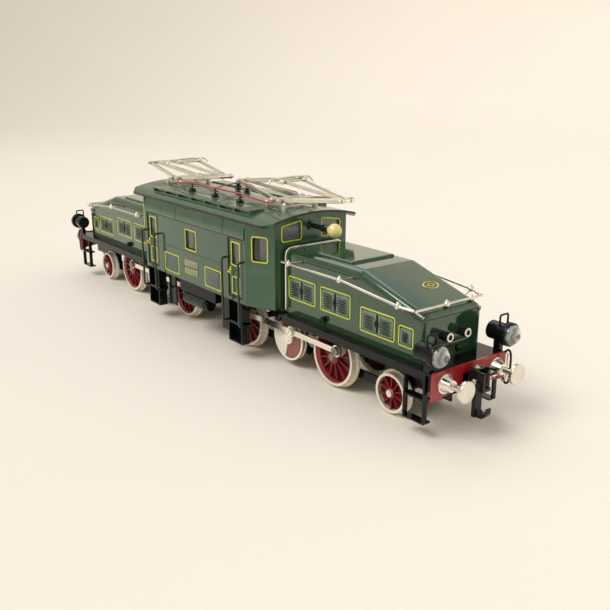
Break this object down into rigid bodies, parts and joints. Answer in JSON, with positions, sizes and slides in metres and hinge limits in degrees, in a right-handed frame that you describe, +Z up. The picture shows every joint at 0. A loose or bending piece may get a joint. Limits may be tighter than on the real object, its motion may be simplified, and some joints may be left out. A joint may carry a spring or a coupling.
{
  "type": "model electric locomotive",
  "caption": "Articulated gauge 0 electric locomotive: a cab with folding current collectors between swivelling hooded bogies with coupled driving wheels.",
  "frame": {"origin": "on the ground under the middle of the locomotive, where the wheel flanges stand", "axes": "+X along the track towards the front bogie, +Y across the track, +Z up"},
  "size_m": [0.46, 0.0816, 0.114],
  "materials": {
    "green_enamel": "deep green gloss enamel",
    "black_enamel": "black gloss enamel",
    "red_enamel": "red gloss enamel",
    "nickel": "polished nickel plate",
    "wheel_iron": "red centres, nickel tyres",
    "insulator_glaze": "dark glaze",
    "lamp_glass": "clear lens",
    "bulb_glass": "yellow frosted bulb and black socket",
    "motor_steel": "plain motor castings",
    "roof_green": "green enamel roof",
    "brass": "bare brass"
  },
  "bodies": {
    "cab": {"cab_sides": "green_enamel", "cab_ends": "green_enamel", "cab_roof": "roof_green", "cab_floor": "black_enamel", "roof_walkways": "roof_green", "roof_insulators": "insulator_glaze", "busbars": "red_enamel", "cab_handrails": "green_enamel", "cab_steps": "black_enamel", "underframe_equipment": "black_enamel", "cab_lamps": "bulb_glass", "pantograph_bases": "nickel"},
    "front_bogie": {"front_bogie_frame": "black_enamel", "front_hood": "green_enamel", "front_footplate": "black_enamel", "front_buffer_beam": "red_enamel", "front_headlamps": "black_enamel", "front_lamp_lenses": "lamp_glass", "front_hood_handrail": "nickel", "motor": "motor_steel"},
    "front_outer_drivers": {"front_outer_drivers": "wheel_iron"},
    "front_jackshaft": {"front_jackshaft": "wheel_iron"},
    "front_inner_drivers": {"front_inner_drivers": "wheel_iron"},
    "front_pony_wheels": {"front_pony_wheels": "wheel_iron"},
    "front_left_side_rod": {"front_left_side_rod": "nickel"},
    "front_left_buffer": {"front_left_buffer": "nickel"},
    "front_left_door": {"front_left_door": "green_enamel"},
    "front_right_side_rod": {"front_right_side_rod": "nickel"},
    "front_right_buffer": {"front_right_buffer": "nickel"},
    "front_right_door": {"front_right_door": "green_enamel"},
    "front_coupler": {"front_coupler": "black_enamel"},
    "front_lower_arm_out": {"front_lower_arm_out": "nickel"},
    "front_upper_arm_out": {"front_upper_arm_out": "nickel"},
    "front_lower_arm_in": {"front_lower_arm_in": "nickel"},
    "front_upper_arm_in": {"front_upper_arm_in": "nickel"},
    "front_collector_bow": {"front_collector_bow": "nickel"},
    "rear_bogie": {"rear_bogie_frame": "black_enamel", "rear_hood": "green_enamel", "rear_footplate": "black_enamel", "rear_buffer_beam": "red_enamel", "rear_headlamps": "black_enamel", "rear_lamp_lenses": "lamp_glass", "rear_hood_handrail": "nickel"},
    "rear_outer_drivers": {"rear_outer_drivers": "wheel_iron"},
    "rear_jackshaft": {"rear_jackshaft": "wheel_iron"},
    "rear_inner_drivers": {"rear_inner_drivers": "wheel_iron"},
    "rear_pony_wheels": {"rear_pony_wheels": "wheel_iron"},
    "rear_left_side_rod": {"rear_left_side_rod": "nickel"},
    "rear_left_buffer": {"rear_left_buffer": "nickel"},
    "rear_left_door": {"rear_left_door": "green_enamel"},
    "rear_right_side_rod": {"rear_right_side_rod": "nickel"},
    "rear_right_buffer": {"rear_right_buffer": "nickel"},
    "rear_right_door": {"rear_right_door": "green_enamel"},
    "rear_coupler": {"rear_coupler": "black_enamel"},
    "rear_lower_arm_out": {"rear_lower_arm_out": "nickel"},
    "rear_upper_arm_out": {"rear_upper_arm_out": "nickel"},
    "rear_lower_arm_in": {"rear_lower_arm_in": "nickel"},
    "rear_upper_arm_in": {"rear_upper_arm_in": "nickel"},
    "rear_collector_bow": {"rear_collector_bow": "nickel"},
    "pickup_shoe": {"pickup_shoe": "brass"}
  },
  "joints": [
    {"name": "front_bogie_swivel", "type": "hinge", "parent": "cab", "child": "front_bogie", "pos_m": [0.06, 0, 0.0364], "axis": [0, 0, 1], "range_deg": [-5, 5]},
    {"name": "front_outer_drivers_spin", "type": "hinge", "parent": "front_bogie", "child": "front_outer_drivers", "pos_m": [0.1294, 0, 0.0186], "axis": [0, 1, 0], "continuous": true},
    {"name": "front_jackshaft_spin", "type": "hinge", "parent": "front_bogie", "child": "front_jackshaft", "pos_m": [0.0863, 0, 0.0186], "axis": [0, 1, 0], "continuous": true},
    {"name": "front_inner_drivers_spin", "type": "hinge", "parent": "front_bogie", "child": "front_inner_drivers", "pos_m": [0.0406, 0, 0.0186], "axis": [0, 1, 0], "continuous": true},
    {"name": "front_pony_wheels_spin", "type": "hinge", "parent": "front_bogie", "child": "front_pony_wheels", "pos_m": [0.1775, 0, 0.0124], "axis": [0, 1, 0], "continuous": true},
    {"name": "front_left_side_rod_pivot", "type": "hinge", "parent": "front_outer_drivers", "child": "front_left_side_rod", "pos_m": [0.13506, -0.0208, 0.02426], "axis": [0, 1, 0], "continuous": true},
    {"name": "front_left_buffer_slide", "type": "slide", "parent": "front_bogie", "child": "front_left_buffer", "axis": [-1, 0, 0], "range_m": [0, 0.003], "stiffness_N_per_m": 400},
    {"name": "front_left_door_hinge", "type": "hinge", "parent": "cab", "child": "front_left_door", "pos_m": [0.0618, -0.0352, 0.0584], "axis": [0, 0, -1], "range_deg": [0, 80]},
    {"name": "front_right_side_rod_pivot", "type": "hinge", "parent": "front_outer_drivers", "child": "front_right_side_rod", "pos_m": [0.12374, 0.0208, 0.02426], "axis": [0, 1, 0], "continuous": true},
    {"name": "front_right_buffer_slide", "type": "slide", "parent": "front_bogie", "child": "front_right_buffer", "axis": [-1, 0, 0], "range_m": [0, 0.003], "stiffness_N_per_m": 400},
    {"name": "front_right_door_hinge", "type": "hinge", "parent": "cab", "child": "front_right_door", "pos_m": [0.0476, 0.0352, 0.0584], "axis": [0, 0, -1], "range_deg": [0, 80]},
    {"name": "front_coupler_swing", "type": "hinge", "parent": "front_bogie", "child": "front_coupler", "pos_m": [0.207, 0, 0.0284], "axis": [0, 0, 1], "range_deg": [-15, 15]},
    {"name": "front_pantograph_raise", "type": "hinge", "parent": "cab", "child": "front_lower_arm_out", "pos_m": [0.0675, 0, 0.1], "axis": [0, -1, 0], "range_deg": [0, 50]},
    {"name": "front_upper_arm_out_knee", "type": "hinge", "parent": "front_lower_arm_out", "child": "front_upper_arm_out", "pos_m": [0.11717, 0, 0.1057], "axis": [0, -1, 0], "range_deg": [-100, 0]},
    {"name": "front_lower_arm_in_pivot", "type": "hinge", "parent": "cab", "child": "front_lower_arm_in", "pos_m": [0.0605, 0, 0.1], "axis": [0, 1, 0], "range_deg": [0, 50]},
    {"name": "front_upper_arm_in_knee", "type": "hinge", "parent": "front_lower_arm_in", "child": "front_upper_arm_in", "pos_m": [0.01083, 0, 0.1057], "axis": [0, 1, 0], "range_deg": [-100, 0]},
    {"name": "front_collector_bow_level", "type": "hinge", "parent": "front_upper_arm_out", "child": "front_collector_bow", "pos_m": [0.0675, 0, 0.1114], "axis": [0, -1, 0], "range_deg": [0, 50]},
    {"name": "rear_bogie_swivel", "type": "hinge", "parent": "cab", "child": "rear_bogie", "pos_m": [-0.06, 0, 0.0364], "axis": [0, 0, 1], "range_deg": [-5, 5]},
    {"name": "rear_outer_drivers_spin", "type": "hinge", "parent": "rear_bogie", "child": "rear_outer_drivers", "pos_m": [-0.1294, 0, 0.0186], "axis": [0, 1, 0], "continuous": true},
    {"name": "rear_jackshaft_spin", "type": "hinge", "parent": "rear_bogie", "child": "rear_jackshaft", "pos_m": [-0.0863, 0, 0.0186], "axis": [0, 1, 0], "continuous": true},
    {"name": "rear_inner_drivers_spin", "type": "hinge", "parent": "rear_bogie", "child": "rear_inner_drivers", "pos_m": [-0.0406, 0, 0.0186], "axis": [0, 1, 0], "continuous": true},
    {"name": "rear_pony_wheels_spin", "type": "hinge", "parent": "rear_bogie", "child": "rear_pony_wheels", "pos_m": [-0.1775, 0, 0.0124], "axis": [0, 1, 0], "continuous": true},
    {"name": "rear_left_side_rod_pivot", "type": "hinge", "parent": "rear_outer_drivers", "child": "rear_left_side_rod", "pos_m": [-0.12374, -0.0208, 0.02426], "axis": [0, 1, 0], "continuous": true},
    {"name": "rear_left_buffer_slide", "type": "slide", "parent": "rear_bogie", "child": "rear_left_buffer", "axis": [1, 0, 0], "range_m": [0, 0.003], "stiffness_N_per_m": 400},
    {"name": "rear_left_door_hinge", "type": "hinge", "parent": "cab", "child": "rear_left_door", "pos_m": [-0.0476, -0.0352, 0.0584], "axis": [0, 0, -1], "range_deg": [0, 80]},
    {"name": "rear_right_side_rod_pivot", "type": "hinge", "parent": "rear_outer_drivers", "child": "rear_right_side_rod", "pos_m": [-0.13506, 0.0208, 0.02426], "axis": [0, 1, 0], "continuous": true},
    {"name": "rear_right_buffer_slide", "type": "slide", "parent": "rear_bogie", "child": "rear_right_buffer", "axis": [1, 0, 0], "range_m": [0, 0.003], "stiffness_N_per_m": 400},
    {"name": "rear_right_door_hinge", "type": "hinge", "parent": "cab", "child": "rear_right_door", "pos_m": [-0.0618, 0.0352, 0.0584], "axis": [0, 0, -1], "range_deg": [0, 80]},
    {"name": "rear_coupler_swing", "type": "hinge", "parent": "rear_bogie", "child": "rear_coupler", "pos_m": [-0.207, 0, 0.0284], "axis": [0, 0, 1], "range_deg": [-15, 15]},
    {"name": "rear_pantograph_raise", "type": "hinge", "parent": "cab", "child": "rear_lower_arm_out", "pos_m": [-0.0675, 0, 0.1], "axis": [0, 1, 0], "range_deg": [0, 50]},
    {"name": "rear_upper_arm_out_knee", "type": "hinge", "parent": "rear_lower_arm_out", "child": "rear_upper_arm_out", "pos_m": [-0.11717, 0, 0.1057], "axis": [0, 1, 0], "range_deg": [-100, 0]},
    {"name": "rear_lower_arm_in_pivot", "type": "hinge", "parent": "cab", "child": "rear_lower_arm_in", "pos_m": [-0.0605, 0, 0.1], "axis": [0, -1, 0], "range_deg": [0, 50]},
    {"name": "rear_upper_arm_in_knee", "type": "hinge", "parent": "rear_lower_arm_in", "child": "rear_upper_arm_in", "pos_m": [-0.01083, 0, 0.1057], "axis": [0, -1, 0], "range_deg": [-100, 0]},
    {"name": "rear_collector_bow_level", "type": "hinge", "parent": "rear_upper_arm_out", "child": "rear_collector_bow", "pos_m": [-0.0675, 0, 0.1114], "axis": [0, 1, 0], "range_deg": [0, 50]},
    {"name": "pickup_shoe_slide", "type": "slide", "parent": "front_bogie", "child": "pickup_shoe", "axis": [0, 0, 1], "range_m": [0, 0.0015], "stiffness_N_per_m": 60}
  ],
  "couplings": [
    {"joint": "front_jackshaft_spin", "follows": "front_outer_drivers_spin", "ratio": 1},
    {"joint": "front_inner_drivers_spin", "follows": "front_outer_drivers_spin", "ratio": 1},
    {"joint": "front_left_side_rod_pivot", "follows": "front_outer_drivers_spin", "ratio": -1},
    {"joint": "front_right_side_rod_pivot", "follows": "front_outer_drivers_spin", "ratio": -1},
    {"joint": "front_upper_arm_out_knee", "follows": "front_pantograph_raise", "ratio": -2},
    {"joint": "front_lower_arm_in_pivot", "follows": "front_pantograph_raise", "ratio": 1},
    {"joint": "front_upper_arm_in_knee", "follows": "front_pantograph_raise", "ratio": -2},
    {"joint": "front_collector_bow_level", "follows": "front_pantograph_raise", "ratio": 1},
    {"joint": "rear_jackshaft_spin", "follows": "rear_outer_drivers_spin", "ratio": 1},
    {"joint": "rear_inner_drivers_spin", "follows": "rear_outer_drivers_spin", "ratio": 1},
    {"joint": "rear_left_side_rod_pivot", "follows": "rear_outer_drivers_spin", "ratio": -1},
    {"joint": "rear_right_side_rod_pivot", "follows": "rear_outer_drivers_spin", "ratio": -1},
    {"joint": "rear_upper_arm_out_knee", "follows": "rear_pantograph_raise", "ratio": -2},
    {"joint": "rear_lower_arm_in_pivot", "follows": "rear_pantograph_raise", "ratio": 1},
    {"joint": "rear_upper_arm_in_knee", "follows": "rear_pantograph_raise", "ratio": -2},
    {"joint": "rear_collector_bow_level", "follows": "rear_pantograph_raise", "ratio": 1}
  ]
}
